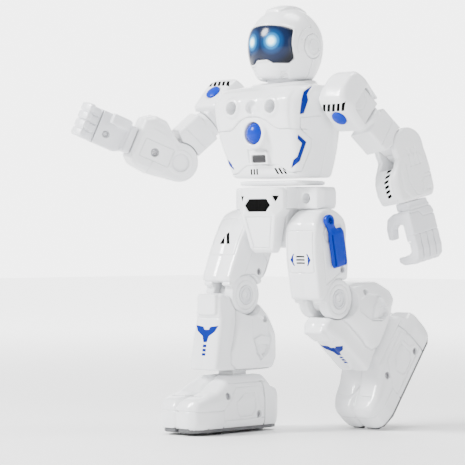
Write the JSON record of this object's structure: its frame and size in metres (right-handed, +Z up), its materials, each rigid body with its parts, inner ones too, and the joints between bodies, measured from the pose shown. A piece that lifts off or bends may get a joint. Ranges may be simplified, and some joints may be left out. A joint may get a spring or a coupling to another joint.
{
  "type": "walking humanoid toy robot",
  "caption": "Glossy white walking humanoid toy robot in mid stride with a dark visor, blue accents, jointed arms and legs and wheeled feet.",
  "frame": {"origin": "centre of the overall bounding box in X and Y, on the floor the right foot wheels and the left toe stand on", "axes": "+Z up; the robot faces -Y; its left side is +X"},
  "size_m": [0.1782, 0.1764, 0.256],
  "materials": {
    "white_shell": "glossy injection-moulded ABS",
    "royal_blue": "glossy royal blue ABS",
    "deep_blue": "satin deep blue ABS inlay",
    "visor_tint": "high-gloss smoked lens with a blue inner glow",
    "eye_light": "lit LED eye board",
    "black_plastic": "matte black",
    "wheel_rubber": "black rubber tyre",
    "roller_grey": "light grey acetal roller",
    "sole_grey": "grey moulded sole plate",
    "steel_pin": "plain turned steel",
    "circuit_green": "green solder-masked board",
    "cell_wrap": "shrink-wrapped cells"
  },
  "bodies": {
    "trunk": {"chest_front": "white_shell", "torso_back": "white_shell", "neck_post": "white_shell", "shoulder_shaft": "steel_pin", "speaker": "black_plastic", "circuit_board": "circuit_green", "battery_pack": "cell_wrap", "battery_door": "white_shell", "sensor_window": "black_plastic", "chest_inlays": "deep_blue", "waist_collar": "white_shell", "pelvis": "white_shell", "hip_guard": "white_shell", "hip_shaft": "steel_pin"},
    "head": {"head_front": "white_shell", "head_back": "white_shell", "visor": "visor_tint", "ear_pods": "white_shell", "eye_board": "eye_light"},
    "button": {"chest_button": "royal_blue"},
    "switch": {"power_switch": "black_plastic"},
    "shoulder_right": {"shoulder_cap_r": "white_shell", "lift_pin_r": "royal_blue"},
    "arm_link_right": {"shoulder_link_r": "white_shell"},
    "upper_arm_right": {"upper_arm_r": "white_shell"},
    "forearm_right": {"elbow_pin_r": "steel_pin", "forearm_inner_r": "white_shell", "forearm_outer_r": "white_shell"},
    "hand_right": {"hand_r": "white_shell"},
    "thigh_right": {"thigh_inner_r": "white_shell", "thigh_outer_r": "white_shell", "knee_link_r": "white_shell", "knee_pin_r": "steel_pin", "holster_r": "royal_blue"},
    "shin_right": {"shin_inner_r": "white_shell", "shin_outer_r": "white_shell"},
    "foot_right": {"foot_shell_r": "white_shell", "foot_sole_r": "sole_grey"},
    "toe_wheels_right": {"toe_wheels_r": "wheel_rubber"},
    "heel_roller_right": {"heel_roller_r": "roller_grey"},
    "shoulder_left": {"shoulder_cap_l": "white_shell", "lift_pin_l": "royal_blue"},
    "arm_link_left": {"shoulder_link_l": "white_shell"},
    "upper_arm_left": {"upper_arm_l": "white_shell"},
    "forearm_left": {"elbow_pin_l": "steel_pin", "forearm_inner_l": "white_shell", "forearm_outer_l": "white_shell"},
    "hand_left": {"hand_l": "white_shell"},
    "thigh_left": {"thigh_inner_l": "white_shell", "thigh_outer_l": "white_shell", "knee_link_l": "white_shell", "knee_pin_l": "steel_pin", "holster_l": "royal_blue"},
    "shin_left": {"shin_inner_l": "white_shell", "shin_outer_l": "white_shell"},
    "foot_left": {"foot_shell_l": "white_shell", "foot_sole_l": "sole_grey"},
    "toe_wheels_left": {"toe_wheels_l": "wheel_rubber"},
    "heel_roller_left": {"heel_roller_l": "roller_grey"}
  },
  "joints": [
    {"name": "head_turn", "type": "hinge", "parent": "trunk", "child": "head", "pos_m": [0.01298, -0.00002, 0.2118], "axis": [0, 0, 1], "range_deg": [-60, 60]},
    {"name": "chest_button_press", "type": "slide", "parent": "trunk", "child": "button", "axis": [0, 1, 0], "range_m": [0, 0.0012], "stiffness_N_per_m": 600, "springref_m": -0.0004},
    {"name": "power_switch_slide", "type": "slide", "parent": "trunk", "child": "switch", "axis": [1, 0, 0], "range_m": [-0.0018, 0.0018]},
    {"name": "shoulder_swing_right", "type": "hinge", "parent": "trunk", "child": "shoulder_right", "pos_m": [-0.02902, -0.00002, 0.196], "axis": [-1, 0, 0], "range_deg": [-60, 40]},
    {"name": "arm_lift_right", "type": "hinge", "parent": "shoulder_right", "child": "arm_link_right", "pos_m": [-0.03752, -0.00002, 0.196], "axis": [0, 0.7314, -0.682], "range_deg": [-12, 20]},
    {"name": "arm_swivel_right", "type": "hinge", "parent": "arm_link_right", "child": "upper_arm_right", "pos_m": [-0.04484, -0.01124, 0.18397], "axis": [-0.4067, -0.623, -0.6681], "range_deg": [-20, 20]},
    {"name": "elbow_right", "type": "hinge", "parent": "upper_arm_right", "child": "forearm_right", "pos_m": [-0.05482, -0.02555, 0.16298], "axis": [-0.8782, 0.4682, 0.098], "range_deg": [-40, 9]},
    {"name": "wrist_right", "type": "hinge", "parent": "forearm_right", "child": "hand_right", "pos_m": [-0.06736, -0.05147, 0.17445], "axis": [0.4046, 0.8363, -0.37], "range_deg": [-60, 60]},
    {"name": "hip_right", "type": "hinge", "parent": "trunk", "child": "thigh_right", "pos_m": [-0.01402, -0.00302, 0.12015], "axis": [-1, 0, 0], "range_deg": [-30, 15]},
    {"name": "knee_right", "type": "hinge", "parent": "thigh_right", "child": "shin_right", "pos_m": [-0.01402, -0.01805, 0.082], "axis": [1, 0, 0], "range_deg": [-15, 40]},
    {"name": "ankle_right", "type": "hinge", "parent": "shin_right", "child": "foot_right", "pos_m": [-0.01402, -0.01805, 0.033], "axis": [1, 0, 0], "range_deg": [-6, 6]},
    {"name": "toe_wheel_spin_right", "type": "hinge", "parent": "foot_right", "child": "toe_wheels_right", "pos_m": [-0.01402, -0.04205, 0.0055], "axis": [1, 0, 0], "continuous": true},
    {"name": "heel_roller_spin_right", "type": "hinge", "parent": "foot_right", "child": "heel_roller_right", "pos_m": [-0.01402, -0.00105, 0.0045], "axis": [1, 0, 0], "continuous": true},
    {"name": "shoulder_swing_left", "type": "hinge", "parent": "trunk", "child": "shoulder_left", "pos_m": [0.05498, -0.00002, 0.196], "axis": [-1, 0, 0], "range_deg": [-30, 60]},
    {"name": "arm_lift_left", "type": "hinge", "parent": "shoulder_left", "child": "arm_link_left", "pos_m": [0.06348, -0.00002, 0.196], "axis": [0, -0.682, -0.7314], "range_deg": [-4, 25]},
    {"name": "arm_swivel_left", "type": "hinge", "parent": "arm_link_left", "child": "upper_arm_left", "pos_m": [0.06692, 0.0129, 0.18395], "axis": [-0.1908, -0.7179, 0.6695], "range_deg": [-20, 20]},
    {"name": "elbow_left", "type": "hinge", "parent": "upper_arm_left", "child": "forearm_left", "pos_m": [0.07207, 0.03501, 0.1688], "axis": [-0.9816, 0.1395, -0.1301], "range_deg": [-20, 36]},
    {"name": "wrist_left", "type": "hinge", "parent": "forearm_left", "child": "hand_left", "pos_m": [0.07691, 0.04112, 0.1388], "axis": [-0.1563, -0.1969, 0.9679], "range_deg": [-60, 60]},
    {"name": "hip_left", "type": "hinge", "parent": "trunk", "child": "thigh_left", "pos_m": [0.03998, -0.00302, 0.12015], "axis": [-1, 0, 0], "range_deg": [-10, 30]},
    {"name": "knee_left", "type": "hinge", "parent": "thigh_left", "child": "shin_left", "pos_m": [0.03998, 0.0048, 0.0799], "axis": [1, 0, 0], "range_deg": [-40, 12]},
    {"name": "ankle_left", "type": "hinge", "parent": "shin_left", "child": "foot_left", "pos_m": [0.03998, 0.04803, 0.05682], "axis": [1, 0, 0], "range_deg": [-2, 10]},
    {"name": "toe_wheel_spin_left", "type": "hinge", "parent": "foot_left", "child": "toe_wheels_left", "pos_m": [0.03998, 0.05492, 0.02098], "axis": [1, 0, 0], "continuous": true},
    {"name": "heel_roller_spin_left", "type": "hinge", "parent": "foot_left", "child": "heel_roller_left", "pos_m": [0.03998, 0.08095, 0.05267], "axis": [1, 0, 0], "continuous": true}
  ]
}
